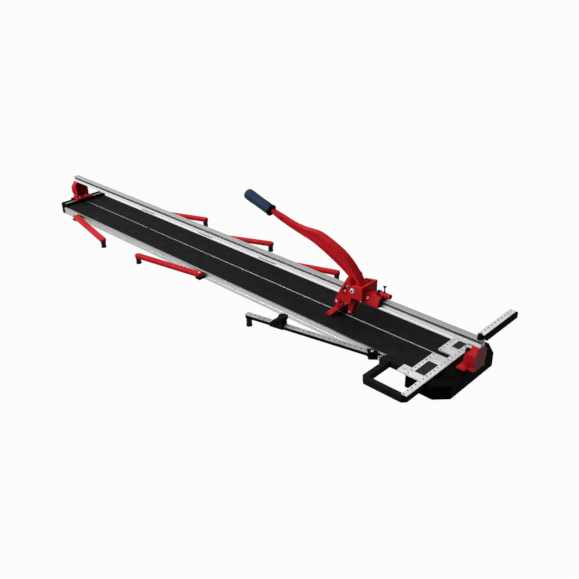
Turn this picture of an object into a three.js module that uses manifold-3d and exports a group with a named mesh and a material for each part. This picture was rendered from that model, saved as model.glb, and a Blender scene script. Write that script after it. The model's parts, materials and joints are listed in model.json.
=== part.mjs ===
// A monorail cutter for large ceramic tiles, about 2.3 m long. Lengths are millimetres.
// X runs along the rail from just inside the bed's left end, Y points to the back, Z up from the floor.
import * as THREE from "three";
import { mergeVertices } from "three/addons/utils/BufferGeometryUtils.js";
import Module from "manifold-3d";

const wasm = await Module();
wasm.setup();

// Clearance between fitted pieces, and how far a cut runs past its piece
const fitGap = 0.3;
const cutOverrun = 6;

// Sides of round pieces
const fineSides = 28;
const pinSides = 16;
const armEndSides = 8;

// Bed: two black mats on aluminium extrusions, with the breaking ridge between them
const bedStart = -10;
const bedLength = 2095;
const bedTop = 45;
const matHalfWidth = 110;
const matThickness = 4;
const deckThickness = 5;
const bedTail = 5;
const sideWallWidth = 8.7;
const sideWallDepth = 31;
const sideSlotHeight = 6;
const sideSlotDepth = 2.5;
const sideSlotDrop = 12;
const deckRibWidth = 4;
const deckRibOffset = 22;
const ridgeWidth = 3.4;
const ridgeRise = 2;
const ridgeFootHalfWidth = 13;
const ridgeFootThickness = 4;
const ridgeJointStart = 505;
const ridgeJointLength = 15;
const ridgeEndInset = 5;

// Left end casting with its aluminium stop strip
const leftCastingReach = 65;
const leftCastingFront = 102;
const leftCastingRear = 115;
const leftCastingRise = 12;
const leftCastingChamferWidth = 12;
const leftCastingChamferDrop = 7;
const leftPocketWall = 8;
const leftPocketDepth = 44;
const tongueLength = 40;
const ridgeSeatHalfWidth = 16;
const stopStripWidth = 13;
const stopStripInset = 5;
const stopStripThickness = 2.5;
const stopStripRecess = 1.5;

// Right base casting, eight-sided in plan
const rightCastingOverlap = 55;
const rightCastingLength = 141;
const rightCastingHalfWidth = 163;
const rightCastingChamfer = 40;
const rightCastingRise = 5;
const rightPocketWall = 8;
const rightPocketDepth = 42;
const rightPocketHalfLength = 28;
const rightPocketPitch = 88;
const trayInset = 10;
const trayWidth = 48;
const trayLength = 44;
const trayOffset = 103;
const trayStepWidth = 11;
const trayStepDepth = 3.5;

// Carrying loop at the front of the right casting
const loopSetback = 98;
const loopLength = 168;
const loopFront = 264;
const loopThickness = 22;
const loopBarWidth = 20;
const loopFrontBarWidth = 19;
const loopWebWidth = 17;
const loopCornerCut = 13;
const loopShoulderReach = 17;
const loopShoulderLength = 26;
const loopShoulderSlope = 23;
const loopLipRise = 2.5;
const loopLipOverlap = 2;

// Guide rail
const railLeftOverhang = 2;
const railRightOverhang = 21;
const railHalfWidth = 13;
const railBottom = 140;
const railHeight = 24;
const railLipThickness = 1.6;
const railGrooveHeight = 9;
const railGrooveDepth = 7;

// Red cast brackets that carry the rail
const bracketEndInset = 2;
const bracketThickness = 25;
const bracketFootZ = 60;
const bracketTopHalfWidth = 15;
const bracketBulgeHalfWidth = 35;
const bracketWaistHalfWidth = 28;
const bracketFootHalfWidth = 32;
const bracketWallThickness = 6;
const bracketWebThickness = 7;
const bracketRibOffset = 7;
const bracketRibThickness = 4;
const bracketFlangeReach = 30;
const bracketFlangeThickness = 5;
const bracketFlangeHalfWidth = 45;
const bracketGussetReach = 16;
const bracketPadMargin = 3;
const leftPadWidth = 31;
const bracketBoltOffset = 18;
const bracketBoltSetback = 7.5;
const boltShankRadius = 3;
const boltHeadRadius = 6;
const boltHeadHeight = 4.5;
const boltShankLength = 18;

// Fence plate, its sliding rule and the rule's clamp knob
const fenceInset = 1;
const fenceWidth = 54;
const fenceFront = 170;
const fenceRear = 108;
const fenceThickness = 6;
const fenceLedgeThickness = 3;
const fenceLobeReach = 29;
const fenceLobeLength = 40;
const fenceSlotDepth = 51;
const fenceSlotHalfWidth = 14.5;
const lobeSlotLength = 20;
const lobeSlotWidth = 5;
const lobeSlotInset = 8;
const ruleWidth = 20;
const ruleFront = 262;
const ruleRear = 87;
const ruleBevelWidth = 6;
const ruleBevelDrop = 1.2;
const fenceKnobY = 66;
const fenceKnobEdgeGap = 2.5;
const fenceKnobRadius = 9;
const fenceKnobHeight = 13;
const fenceKnobStemRadius = 3;
const fenceKnobStemDepth = 18;
const fenceKnobDomeShares = [[1, 0], [1, 0.6], [0.7, 0.9], [0, 1]];

// Rule arm that swings at the rail's right end, and its clamp knob
const rearArmSetback = 12;
const rearArmHalfWidth = 14;
const rearArmThickness = 9;
const rearArmLength = 208;
const rearArmTail = 9;
const rearArmTailThickness = 3;
const rearArmStart = 8.5;
const rearArmDeepDrop = 11.5;
const rearArmDeepStart = 19;
const rearRuleThickness = 1.5;
const rearRuleRim = 6;
const rearKnobRadius = 6.5;
const rearKnobHeight = 13;
const rearKnobStemRadius = 4;
const rearKnobStemDepth = 8;

// Carriage on the rail
const carriageSetback = 378;
const headLength = 50;
const headHalfWidth = 42;
const headCheekThickness = 8.5;
const headTop = 203;
const headTopDrop = 10;
const headEndThickness = 8;
const headBottom = 151;
const carriageBottom = 140.5;
const saddleLength = 57;
const saddleHalfWidth = 28;
const saddleTop = 174.5;
const saddleTopHalfWidth = 16;
const saddleSkirtHeight = 12;
const railRunningGap = 1.2;
const rollerRadius = 8.5;
const rollerThickness = 7.6;
const rollerPinRadius = 2.5;
const rollerGrooveGap = 0.5;
const rollerPocketGap = 0.6;
const rollerInset = 24;
const wiperThickness = 7;
const wiperHalfWidth = 24;
const wiperTopDrop = 1.5;
const wiperHeight = 28;
const wiperRunningGap = 0.6;
const tubeLength = 54;
const tubeOverhang = 31;
const tubeRadius = 8.5;
const tubeBoreRadius = 5.5;
const tubeBoreDepth = 14;
const tubeRise = 9.5;
const cradleHalfWidth = 7;
const thumbScrewSetback = 26;
const thumbStemRadius = 2.5;
const thumbStemDepth = 5;
const thumbStemRise = 13;
const thumbHeadRadius = 6;
const thumbHeadHeight = 8;

// Lever, hinged on the carriage
const pivotSetback = 10;
const pivotRise = 15;
const pivotRadius = 5;
const pivotHeadRadius = 8;
const pivotHeadHeight = 6;
const leverReach = 416;
const leverRise = 168;
const leverHalfWidth = 16;
const leverNeckHalfWidth = 9;
const leverHubRadius = 13;
const leverPanelDepth = 6;
const leverPanelOverrun = 4;
const yokeHalfWidth = 34;
const yokeInnerHalfWidth = 17.5;
const yokeRecessDepth = 8;
const yokeRailGap = 3;
const legHalfWidth = 10;

// Grip on the lever's neck
const gripLength = 135;
const gripSlopeDegrees = 16.1;
const gripNeckGap = 6;
const gripNeckDrop = 1.5;
const gripRadius = 21.5;
const gripEndRadius = 15;
const gripEndLength = 7;
const gripShoulderShare = 0.85;
const tangRadius = 8;
const tangLength = 70;
const tangRoot = 22;
const collarRadius = 22;
const collarLength = 9;

// Scoring wheel, standing clear of the bed, and its axle
const wheelBedGap = 13;
const wheelSetback = 36;
const wheelRadius = 11;
const wheelThickness = 4;
const wheelEdgeThickness = 0.8;
const wheelSlotGap = 0.5;
const wheelSlotHeadroom = 4;
const axleRadius = 2;
const axleHeadRadius = 3.5;
const axleHeadHeight = 1.5;

// Breaking foot and its pin
const footPinSetback = 76;
const footPinDrop = 70;
const footPinRadius = 3;
const footPinHeadRadius = 4.5;
const footPinHeadHeight = 2;
const footEyeRadius = 9;
const footArmGap = 0.6;
const footArmInner = 9;
const footArmSink = 6;
const footHalfLength = 52;
const footLean = 35;
const footTilt = 13;
const footWidth = 24;
const footPadLength = 15;
const footEndThickness = 12;
const footArch = 9;
const footCrownHalfWidth = 8;
const footCrownRise = 10;
const footBedGap = 6.5;

// Swinging outriggers, red, each with a black rubber foot
const armPivotOffset = 133;
const armLength = 335;
const armHalfWidth = 13.5;
const armUnderside = 27;
const armThickness = 16;
const armEdge = 4;
const armPinRadius = 5;
const armPinHeight = 10;
const armBracketHalfLength = 13;
const armBracketThickness = 8;
const armFootRadius = 11.5;
const armFootWaist = 10.5;
const armFootChamfer = 1.5;
const outriggers = [
    { name: "rear_left", bedShare: 0.14, side: 1, restDegrees: 21.3 },
    { name: "rear_middle", bedShare: 0.344, side: 1, restDegrees: 23.2 },
    { name: "rear_right", bedShare: 0.528, side: 1, restDegrees: 19.4 },
    { name: "front_left", bedShare: 0.055, side: -1, restDegrees: -11.6 },
    { name: "front_middle", bedShare: 0.4895, side: -1, restDegrees: 190.4 },
];

// Measuring arm, the sixth outrigger, with its sliding stop
const measuringSetback = 206;
const measuringPivotOffset = 134;
const measuringRestDegrees = 191.6;
const measuringArmLength = 500;
const measuringArmTail = 8;
const measuringArmHalfWidth = 13;
const measuringArmThickness = 10.5;
const measuringArmUnderside = 36.5;
const measuringBevel = 1.5;
const measuringEndChamfer = 7;
const measuringFootInset = 12;
const measuringPlateThickness = 4;
const measuringPlateHalfLength = 23;
const measuringPlateFront = 20;
const measuringHeadRadius = 5;
const measuringHeadHeight = 3;
const measuringStopDistance = 363;
const measuringStopHalfLength = 27;
const measuringStopWall = 1.7;
const measuringStopCap = 19;
const measuringStopSlope = 22;
const measuringStopStep = 9;
const measuringStopStepHeight = 9;
const measuringStopLip = 2;
const stopKnobInset = 20;
const stopKnobRadius = 18;
const stopKnobHeight = 12;
const stopKnobLobes = 6;
const stopKnobLobeShare = 0.12;
const stopKnobStemRadius = 4;
const stopKnobStemRise = 6;
const stopKnobStemDepth = 6;

// Bracket outline heights, and the gusset's outline, as shares of the bracket's height and reach
const bracketBulgeShare = 0.71;
const bracketLowerBulgeShare = 0.4;
const bracketWaistShare = 0.13;
const gussetShares = [
    [0, 0], [0.62, 0], [0.86, 0.14], [1, 0.32], [0.98, 0.5], [0.78, 0.66], [0.4, 0.76], [0, 0.8],
];

// Lever side view, as shares of its reach left of the pivot and its rise above the pivot
const leverTopShares = [
    [0.994, 1.03], [0.855, 0.958], [0.729, 0.885], [0.605, 0.866], [0.485, 0.878],
    [0.408, 0.846], [0.291, 0.742], [0.176, 0.606], [0.081, 0.42], [-0.006, 0.166],
];
const leverBottomShares = [
    [0.102, 0.191], [0.171, 0.293], [0.29, 0.437], [0.411, 0.564], [0.515, 0.652],
    [0.723, 0.761], [0.885, 0.861], [0.992, 0.954],
];
const leverCurveSteps = 20;
const panelSteps = 9;
const panelStartShare = 0.13;
const panelEndShare = 0.88;
const panelMarginShare = 0.18;

// Yoke, cross beam and leg outlines from the pivot, as shares of the pivot's height above the wheel
const yokeShares = [
    [-0.27, 0.35], [-0.4, 0.11], [-0.545, -0.14], [-0.645, -0.355], [-0.76, -0.58], [-0.79, -0.7],
    [-0.7, -0.75], [-0.61, -0.68], [-0.53, -0.5], [-0.27, -0.44], [-0.12, -0.46],
    [-0.105, -0.35], [-0.12, 0.06], [-0.18, 0.3],
];
const yokeRecessShares = [
    [-0.34, 0.06], [-0.21, 0.13], [-0.19, -0.1], [-0.235, -0.34], [-0.33, -0.33], [-0.455, -0.27],
    [-0.445, -0.12],
];
const crossBeamShares = [
    [-0.52, -0.49], [-0.12, -0.405], [-0.12, -0.49], [-0.3, -0.53], [-0.5, -0.57],
];
const legShares = [
    [-0.48, -0.5], [-0.36, -0.69], [-0.4, -0.98], [-0.4, -1.04], [-0.26, -1.04], [-0.22, -0.92],
    [-0.12, -0.6], [-0.12, -0.44],
];

// Colours and finishes
const finishes = {
    blackRubber: { color: 0x1b1b1d, roughness: 0.9, metalness: 0 },
    blackPaint: { color: 0x161618, roughness: 0.6, metalness: 0 },
    blackPlastic: { color: 0x111113, roughness: 0.5, metalness: 0 },
    aluminium: { color: 0xc4c5c6, roughness: 0.35, metalness: 1 },
    redPaint: { color: 0xc4161f, roughness: 0.35, metalness: 0 },
    steel: { color: 0xb9bbbe, roughness: 0.3, metalness: 1 },
    blueGrip: { color: 0x24364e, roughness: 0.7, metalness: 0 },
};

// Places that several pieces share
const outerHalfWidth = matHalfWidth + sideWallWidth;
const deckTop = bedTop - matThickness;
const deckBottom = deckTop - deckThickness;
const sideWallBottom = bedTop - sideWallDepth;
const bedEnd = bedLength + bedTail;
const rightCastingStart = bedEnd - rightCastingOverlap;
const rightCastingEnd = rightCastingStart + rightCastingLength;
const railStart = -leftCastingReach - railLeftOverhang;
const railEnd = rightCastingEnd + railRightOverhang;
const loopLeft = rightCastingStart - loopSetback;
const fenceLeft = rightCastingStart + fenceInset;
const headLeft = bedEnd - carriageSetback;
const measuringPivotX = bedEnd - measuringSetback;
const ridgeHalfWidth = ridgeWidth / 2;
const ridgeFootTop = deckBottom - fitGap;
const ridgeFootBottom = ridgeFootTop - ridgeFootThickness;
const railTop = railBottom + railHeight;
const railGrooveTop = railTop - railLipThickness;
const railGrooveBottom = railGrooveTop - railGrooveHeight;
const rightCastingTop = bedTop + rightCastingRise;
const leftCastingTop = bedTop + leftCastingRise;
const fenceTop = rightCastingTop + fenceThickness;
const fenceRight = fenceLeft + fenceWidth;
const bracketHeight = railBottom - bracketFootZ;
const flangeTop = bracketFootZ + bracketFlangeThickness;
const leftBracketFace = railStart + bracketEndInset + bracketThickness;
const rightBracketFace = railEnd - bracketEndInset - bracketThickness;
const rearArmX = railEnd - rearArmSetback;
const rearRuleTop = railTop + fitGap + rearArmThickness + rearRuleThickness;
const fenceKnobX = fenceRight + ruleWidth + fenceKnobEdgeGap + fenceKnobStemRadius;
const headRight = headLeft + headLength;
const saddleRight = headRight + saddleLength;
const rollerY = railHalfWidth - railGrooveDepth + rollerGrooveGap + rollerRadius;
const rollerZ = railGrooveTop - railGrooveHeight / 2;
const rollerPlaces = {
    front_left: [headLeft + rollerInset, -rollerY],
    front_right: [saddleRight - rollerInset, -rollerY],
    rear_left: [headLeft + rollerInset, rollerY],
    rear_right: [saddleRight - rollerInset, rollerY],
};
const tubeRight = saddleRight + tubeOverhang;
const tubeLeft = tubeRight - tubeLength;
const tubeZ = saddleTop + tubeRise;
const thumbScrewX = tubeRight - thumbScrewSetback;
const pivotX = headLeft + pivotSetback;
const pivotZ = railTop + pivotRise;
const wheelX = pivotX - wheelSetback;
const wheelZ = bedTop + wheelBedGap + wheelRadius;
const legHeight = pivotZ - wheelZ;
const footPinX = pivotX - footPinSetback;
const footPinZ = pivotZ - footPinDrop;
const footLeft = footPinX - footLean;
const stopTop = measuringArmUnderside + measuringArmThickness + fitGap + measuringStopCap;
const stopKnobX = measuringStopDistance - stopKnobInset;

const cutter = new THREE.Group();

// Frames that turn an outline drawn flat so that it is extruded along X, Y or Z
const alongX = new THREE.Vector3(1, 0, 0);
const alongY = new THREE.Vector3(0, 1, 0);
const alongZ = new THREE.Vector3(0, 0, 1);
const extrusionFrames = {
    x: new THREE.Matrix4().makeBasis(alongY, alongZ, alongX),
    y: new THREE.Matrix4().makeBasis(alongX, alongZ, alongY.clone().negate()),
    z: new THREE.Matrix4(),
};

function solidOf(geometry) {
    const bare = geometry.clone();
    bare.deleteAttribute("normal");
    bare.deleteAttribute("uv");
    const merged = mergeVertices(bare);
    return new wasm.Manifold(new wasm.Mesh({
        numProp: 3,
        vertProperties: new Float32Array(merged.attributes.position.array),
        triVerts: new Uint32Array(merged.index.array),
    }));
}

function geometryOf(solid) {
    const mesh = solid.getMesh();
    const geometry = new THREE.BufferGeometry();
    geometry.setAttribute("position", new THREE.BufferAttribute(new Float32Array(mesh.vertProperties), 3));
    geometry.setIndex(new THREE.BufferAttribute(new Uint32Array(mesh.triVerts), 1));
    geometry.computeVertexNormals();
    return geometry;
}

function join(first, ...others) {
    return others.reduce((whole, other) => whole.add(other), first);
}

function cut(first, ...tools) {
    return tools.reduce((whole, tool) => whole.subtract(tool), first);
}

function placed(solid, matrix) {
    return solidOf(geometryOf(solid).applyMatrix4(matrix));
}

// Extrudes a closed outline along an axis, from one place to another
function prism(axis, points, from, to) {
    const outline = new THREE.Shape(points.map(([u, v]) => new THREE.Vector2(u, v)));
    const geometry = new THREE.ExtrudeGeometry(outline, { depth: to - from, bevelEnabled: false });
    geometry.translate(0, 0, axis === "y" ? -to : from);
    geometry.applyMatrix4(extrusionFrames[axis]);
    return solidOf(geometry);
}

function box(x0, x1, y0, y1, z0, z1) {
    return prism("z", [[x0, y0], [x1, y0], [x1, y1], [x0, y1]], z0, z1);
}

function circle(u, v, radius, sides) {
    return Array.from({ length: sides }, (_, i) => {
        const angle = (i / sides) * 2 * Math.PI;
        return [u + radius * Math.cos(angle), v + radius * Math.sin(angle)];
    });
}

// A round bar along an axis, centred on the other two coordinates in their X, Y, Z order
function rod(axis, u, v, radius, from, to, sides = fineSides) {
    return prism(axis, circle(u, v, radius, sides), from, to);
}

// Spins a radius and height profile about a vertical axis
function spun(x, y, profile, sides = fineSides) {
    const points = profile.map(([radius, z]) => new THREE.Vector2(radius, z));
    const geometry = new THREE.LatheGeometry(points, sides);
    geometry.rotateX(Math.PI / 2);
    geometry.translate(x, y, 0);
    return solidOf(geometry);
}

function mirrored(points) {
    return points.map(([u, v]) => [-u, v]).reverse();
}

function addPiece(name, finish, solid, parent = cutter) {
    const piece = new THREE.Mesh(geometryOf(solid), new THREE.MeshStandardMaterial(finishes[finish]));
    piece.name = name;
    parent.add(piece);
    return piece;
}

// Aluminium bed extrusion of the back half, or of the front half with side -1
function makeBedExtrusion(side) {
    const inner = ridgeHalfWidth + fitGap;
    const slotTop = bedTop - sideSlotDrop;
    const slotBottom = slotTop - sideSlotHeight;
    const profile = [
        [inner, deckTop], [matHalfWidth, deckTop], [matHalfWidth, bedTop], [outerHalfWidth, bedTop],
        [outerHalfWidth, slotTop], [outerHalfWidth - sideSlotDepth, slotTop],
        [outerHalfWidth - sideSlotDepth, slotBottom], [outerHalfWidth, slotBottom],
        [outerHalfWidth, sideWallBottom], [matHalfWidth, sideWallBottom], [matHalfWidth, deckBottom],
        [deckRibOffset + deckRibWidth, deckBottom], [deckRibOffset + deckRibWidth, sideWallBottom],
        [deckRibOffset, sideWallBottom], [deckRibOffset, deckBottom], [inner, deckBottom],
    ];
    return prism("x", side > 0 ? profile : mirrored(profile), bedStart + fitGap, bedEnd);
}

function makeMat(side) {
    const inner = ridgeHalfWidth + fitGap;
    const outer = matHalfWidth - fitGap;
    const profile = [[inner, deckTop], [outer, deckTop], [outer, bedTop], [inner, bedTop]];
    return prism("x", side > 0 ? profile : mirrored(profile), bedStart + fitGap, bedLength);
}

function ridgeProfile(top) {
    const half = [
        [ridgeHalfWidth, top], [ridgeHalfWidth, ridgeFootTop],
        [ridgeFootHalfWidth, ridgeFootTop], [ridgeFootHalfWidth, ridgeFootBottom],
    ];
    return [...half, ...mirrored(half)];
}

function makeBed() {
    const jointEnd = ridgeJointStart + ridgeJointLength;
    const ridge = ridgeProfile(bedTop + ridgeRise);
    addPiece("front_bed_extrusion", "aluminium", makeBedExtrusion(-1));
    addPiece("rear_bed_extrusion", "aluminium", makeBedExtrusion(1));
    addPiece("front_mat", "blackRubber", makeMat(-1));
    addPiece("rear_mat", "blackRubber", makeMat(1));
    addPiece("left_breaking_ridge", "aluminium",
        prism("x", ridge, bedStart + fitGap, ridgeJointStart - fitGap));
    addPiece("right_breaking_ridge", "aluminium",
        prism("x", ridge, jointEnd + fitGap, bedLength - ridgeEndInset));
    addPiece("ridge_joint", "blackPlastic", prism("x", ridgeProfile(bedTop), ridgeJointStart, jointEnd));
}

// Clearance hole for a bracket bolt, down from the flange's top
function boltHole(x, y) {
    const radius = boltShankRadius + fitGap;
    return rod("z", x, y, radius, flangeTop - boltShankLength - fitGap, flangeTop + cutOverrun, pinSides);
}

function boltPlaces(face, inward) {
    const x = face + inward * bracketBoltSetback;
    return { front: [x, -bracketBoltOffset], rear: [x, bracketBoltOffset] };
}

function makeLeftCasting() {
    const outline = [
        [-leftCastingReach, 0], [tongueLength, 0], [tongueLength, sideWallBottom],
        [bedStart, sideWallBottom], [bedStart, leftCastingTop],
        [-leftCastingReach + leftCastingChamferWidth, leftCastingTop],
        [-leftCastingReach, leftCastingTop - leftCastingChamferDrop],
    ];
    const block = prism("y", outline, -leftCastingFront, leftCastingRear);
    const seat = box(bedStart - fitGap, tongueLength, -ridgeSeatHalfWidth, ridgeSeatHalfWidth, 0,
        ridgeFootBottom);
    const padHalfWidth = bracketFlangeHalfWidth + bracketPadMargin;
    const pad = box(-leftCastingReach, -leftCastingReach + leftPadWidth, -padHalfWidth, padHalfWidth,
        leftCastingTop - leftCastingChamferDrop, bracketFootZ);
    const stripRight = bedStart - stopStripInset;
    const stripGroove = box(stripRight - stopStripWidth - fitGap, stripRight + fitGap,
        -outerHalfWidth, outerHalfWidth, leftCastingTop - stopStripRecess, bracketFootZ + cutOverrun);
    const pockets = [-1, 1].map((side) => {
        const near = side * (ridgeSeatHalfWidth - leftPocketWall / 2);
        const far = side > 0 ? leftCastingRear - leftPocketWall : leftPocketWall - leftCastingFront;
        return box(-leftCastingReach + leftPocketWall, bedStart - leftPocketWall, Math.min(near, far),
            Math.max(near, far), -cutOverrun, leftPocketDepth);
    });
    const holes = Object.values(boltPlaces(leftBracketFace, 1)).map(([x, y]) => boltHole(x, y));
    return cut(join(block, seat, pad), stripGroove, ...pockets, ...holes);
}

function makeRightCasting() {
    const start = rightCastingStart;
    const end = rightCastingEnd;
    const half = rightCastingHalfWidth;
    const chamfer = rightCastingChamfer;
    const outline = [
        [start, -half], [end - chamfer, -half], [end, -half + chamfer],
        [end, half - chamfer], [end - chamfer, half], [start, half],
    ];
    const bedHalf = outerHalfWidth + fitGap;
    const bedRight = bedEnd + fitGap;
    const bedPocket = box(start - cutOverrun, bedRight, -bedHalf, bedHalf, sideWallBottom,
        rightCastingTop + cutOverrun);
    const seat = box(start, bedRight + fitGap, -ridgeSeatHalfWidth, ridgeSeatHalfWidth, 0, ridgeFootBottom);
    const padHalf = bracketFlangeHalfWidth + bracketPadMargin;
    const pad = box(rightBracketFace - bracketFlangeReach - bracketPadMargin, end, -padHalf, padHalf,
        rightCastingTop - fitGap, bracketFootZ);
    const pocketLeft = bedRight + rightPocketWall;
    const pockets = [-rightPocketPitch, 0, rightPocketPitch].map((y) => box(pocketLeft,
        end - rightPocketWall, y - rightPocketHalfLength, y + rightPocketHalfLength, -cutOverrun,
        rightPocketDepth));
    const trays = [-trayOffset, trayOffset].flatMap((y) => [0, 1].map((step) => {
        const inset = step * trayStepWidth;
        return box(end - trayInset - trayWidth + inset, end - trayInset - inset,
            y - trayLength / 2 + inset, y + trayLength / 2 - inset,
            rightCastingTop - (step + 1) * trayStepDepth, rightCastingTop + cutOverrun);
    }));
    const holes = Object.values(boltPlaces(rightBracketFace, -1)).map(([x, y]) => boltHole(x, y));
    const knobHole = rod("z", fenceKnobX, fenceKnobY, fenceKnobStemRadius + fitGap,
        rightCastingTop - fenceKnobStemDepth - fitGap, rightCastingTop + cutOverrun, pinSides);
    const body = cut(prism("z", outline, 0, rightCastingTop), bedPocket);
    return cut(join(body, seat, pad), ...pockets, ...trays, ...holes, knobHole);
}

function makeCastings() {
    const stripTop = leftCastingTop - stopStripRecess + stopStripThickness;
    const stripRight = bedStart - stopStripInset;
    addPiece("left_end_casting", "blackPaint", makeLeftCasting());
    addPiece("left_stop_strip", "aluminium", box(stripRight - stopStripWidth, stripRight,
        -leftCastingFront, leftCastingRear, leftCastingTop - stopStripRecess, stripTop));
    addPiece("right_base_casting", "blackPaint", makeRightCasting());
}

function makeCarryLoop() {
    const rear = -outerHalfWidth - fitGap;
    const web = rear - loopWebWidth;
    const left = loopLeft;
    const right = loopLeft + loopLength;
    const front = -loopFront;
    const castingLeft = rightCastingStart - fitGap;
    const castingFront = -rightCastingHalfWidth - fitGap;
    const shoulder = left - loopShoulderReach;
    const shoulderFront = rear - loopShoulderLength;
    const outline = [
        [shoulder, rear], [shoulder, shoulderFront], [left, shoulderFront - loopShoulderSlope],
        [left, front + loopCornerCut], [left + loopCornerCut, front], [right - loopCornerCut, front],
        [right, front + loopCornerCut], [right, castingFront], [right - loopBarWidth, castingFront],
        [right - loopBarWidth, front + loopFrontBarWidth], [left + loopBarWidth, front + loopFrontBarWidth],
        [left + loopBarWidth, web], [castingLeft, web], [castingLeft, rear],
    ];
    const bedSide = -matHalfWidth + loopLipOverlap;
    const lip = [
        [shoulder, shoulderFront], [left + loopBarWidth, shoulderFront], [left + loopBarWidth, web],
        [castingLeft, web], [castingLeft, bedSide], [left, bedSide], [shoulder, rear],
    ];
    return join(
        prism("z", outline, bedTop - loopThickness, bedTop + fitGap),
        prism("z", lip, bedTop + fitGap, bedTop + loopLipRise),
    );
}

function makeRail() {
    const groove = railHalfWidth - railGrooveDepth;
    const half = [
        [railHalfWidth, railTop], [railHalfWidth, railGrooveTop], [groove, railGrooveTop],
        [groove, railGrooveBottom], [railHalfWidth, railGrooveBottom], [railHalfWidth, railBottom],
    ];
    const knobHole = rod("z", rearArmX, 0, rearKnobStemRadius + fitGap,
        railTop - rearKnobStemDepth - fitGap, railTop + cutOverrun, pinSides);
    return cut(prism("x", [...half, ...mirrored(half)], railStart, railEnd), knobHole);
}

// A rail bracket whose ribbed side looks along the inward direction, 1 for the left and -1 for the right
function makeBracket(face, inward) {
    const heights = [bracketBulgeShare, bracketLowerBulgeShare, bracketWaistShare]
        .map((share) => bracketFootZ + share * bracketHeight);
    const outlineInset = (inset) => {
        const half = [
            [bracketTopHalfWidth - inset, railBottom - inset], [bracketBulgeHalfWidth - inset, heights[0]],
            [bracketBulgeHalfWidth - inset, heights[1]], [bracketWaistHalfWidth - inset, heights[2]],
            [bracketFootHalfWidth - inset, flangeTop],
            [bracketFootHalfWidth - inset, bracketFootZ + Math.sign(inset) * bracketFlangeThickness],
        ];
        return [...half, ...mirrored(half)];
    };
    const spanX = (near, far) => [face + inward * near, face + inward * far].sort((a, b) => a - b);
    const body = prism("x", outlineInset(0), ...spanX(-bracketThickness, 0));
    const pocket = prism("x", outlineInset(bracketWallThickness),
        ...spanX(bracketWebThickness - bracketThickness, cutOverrun));
    const ribs = [-bracketRibOffset, bracketRibOffset].map((y) => box(
        ...spanX(bracketWebThickness - bracketThickness - fitGap, 0), y - bracketRibThickness / 2,
        y + bracketRibThickness / 2, bracketFootZ, railBottom - bracketWallThickness / 2));
    const flange = box(...spanX(-fitGap, bracketFlangeReach), -bracketFlangeHalfWidth,
        bracketFlangeHalfWidth, bracketFootZ, flangeTop);
    const gussetOutline = gussetShares.map(([reach, rise]) => [
        face + inward * bracketGussetReach * reach - inward * fitGap, bracketFootZ + rise * bracketHeight,
    ]);
    const gussets = [-1, 1].map((side) => {
        const outer = side * bracketFootHalfWidth;
        const inner = side * (bracketFootHalfWidth - bracketWallThickness);
        return prism("y", gussetOutline, Math.min(inner, outer), Math.max(inner, outer));
    });
    const holes = Object.values(boltPlaces(face, inward)).map(([x, y]) => boltHole(x, y));
    return cut(join(cut(body, pocket), ...ribs, flange, ...gussets), ...holes);
}

// A hexagon bolt standing in a bracket's flange
function makeBolt(x, y) {
    return join(
        rod("z", x, y, boltShankRadius, flangeTop - boltShankLength, flangeTop + fitGap, pinSides),
        prism("z", circle(x, y, boltHeadRadius, 6), flangeTop, flangeTop + boltHeadHeight),
    );
}

function makeRailSupports() {
    addPiece("guide_rail", "aluminium", makeRail());
    const sides = { left: [leftBracketFace, 1], right: [rightBracketFace, -1] };
    for (const [name, [face, inward]] of Object.entries(sides)) {
        addPiece(`${name}_rail_bracket`, "redPaint", makeBracket(face, inward));
        for (const [place, [x, y]] of Object.entries(boltPlaces(face, inward))) {
            addPiece(`${name}_bracket_${place}_bolt`, "steel", makeBolt(x, y));
        }
    }
}

function makeFencePlate() {
    const lobeLeft = fenceLeft - fenceLobeReach;
    const lobeRear = -fenceFront + fenceLobeLength;
    const slotRight = fenceLeft + fenceSlotDepth;
    const outline = [
        [lobeLeft, -fenceFront], [fenceRight, -fenceFront], [fenceRight, fenceRear], [fenceLeft, fenceRear],
        [fenceLeft, fenceSlotHalfWidth], [slotRight, fenceSlotHalfWidth],
        [slotRight, -fenceSlotHalfWidth], [fenceLeft, -fenceSlotHalfWidth],
        [fenceLeft, lobeRear], [lobeLeft, lobeRear],
    ];
    const ledge = box(fenceRight - fitGap, fenceRight + ruleWidth, -fenceFront, fenceRear, rightCastingTop,
        rightCastingTop + fenceLedgeThickness);
    const slotMiddle = -fenceFront + fenceLobeLength / 2;
    const slot = box(lobeLeft + lobeSlotInset, lobeLeft + lobeSlotInset + lobeSlotLength,
        slotMiddle - lobeSlotWidth / 2, slotMiddle + lobeSlotWidth / 2, rightCastingTop - cutOverrun,
        fenceTop + cutOverrun);
    return cut(join(prism("z", outline, rightCastingTop, fenceTop), ledge), slot);
}

function makeFenceRule() {
    const left = fenceRight + fitGap;
    const right = fenceRight + ruleWidth;
    const bottom = rightCastingTop + fenceLedgeThickness + fitGap;
    const profile = [
        [left, bottom], [right, bottom], [right, fenceTop - ruleBevelDrop],
        [right - ruleBevelWidth, fenceTop], [left, fenceTop],
    ];
    return prism("y", profile, -ruleFront, ruleRear);
}

function makeFence() {
    const knobFoot = fenceTop + fitGap;
    const stemFoot = rightCastingTop - fenceKnobStemDepth;
    const dome = fenceKnobDomeShares.map(([out, up]) => [
        out * fenceKnobRadius, knobFoot + up * fenceKnobHeight,
    ]);
    addPiece("fence_plate", "aluminium", makeFencePlate());
    addPiece("fence_rule", "aluminium", makeFenceRule());
    addPiece("fence_knob", "blackPlastic", spun(fenceKnobX, fenceKnobY, [
        [0, stemFoot], [fenceKnobStemRadius, stemFoot], [fenceKnobStemRadius, knobFoot], ...dome,
    ], pinSides));
}

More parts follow.
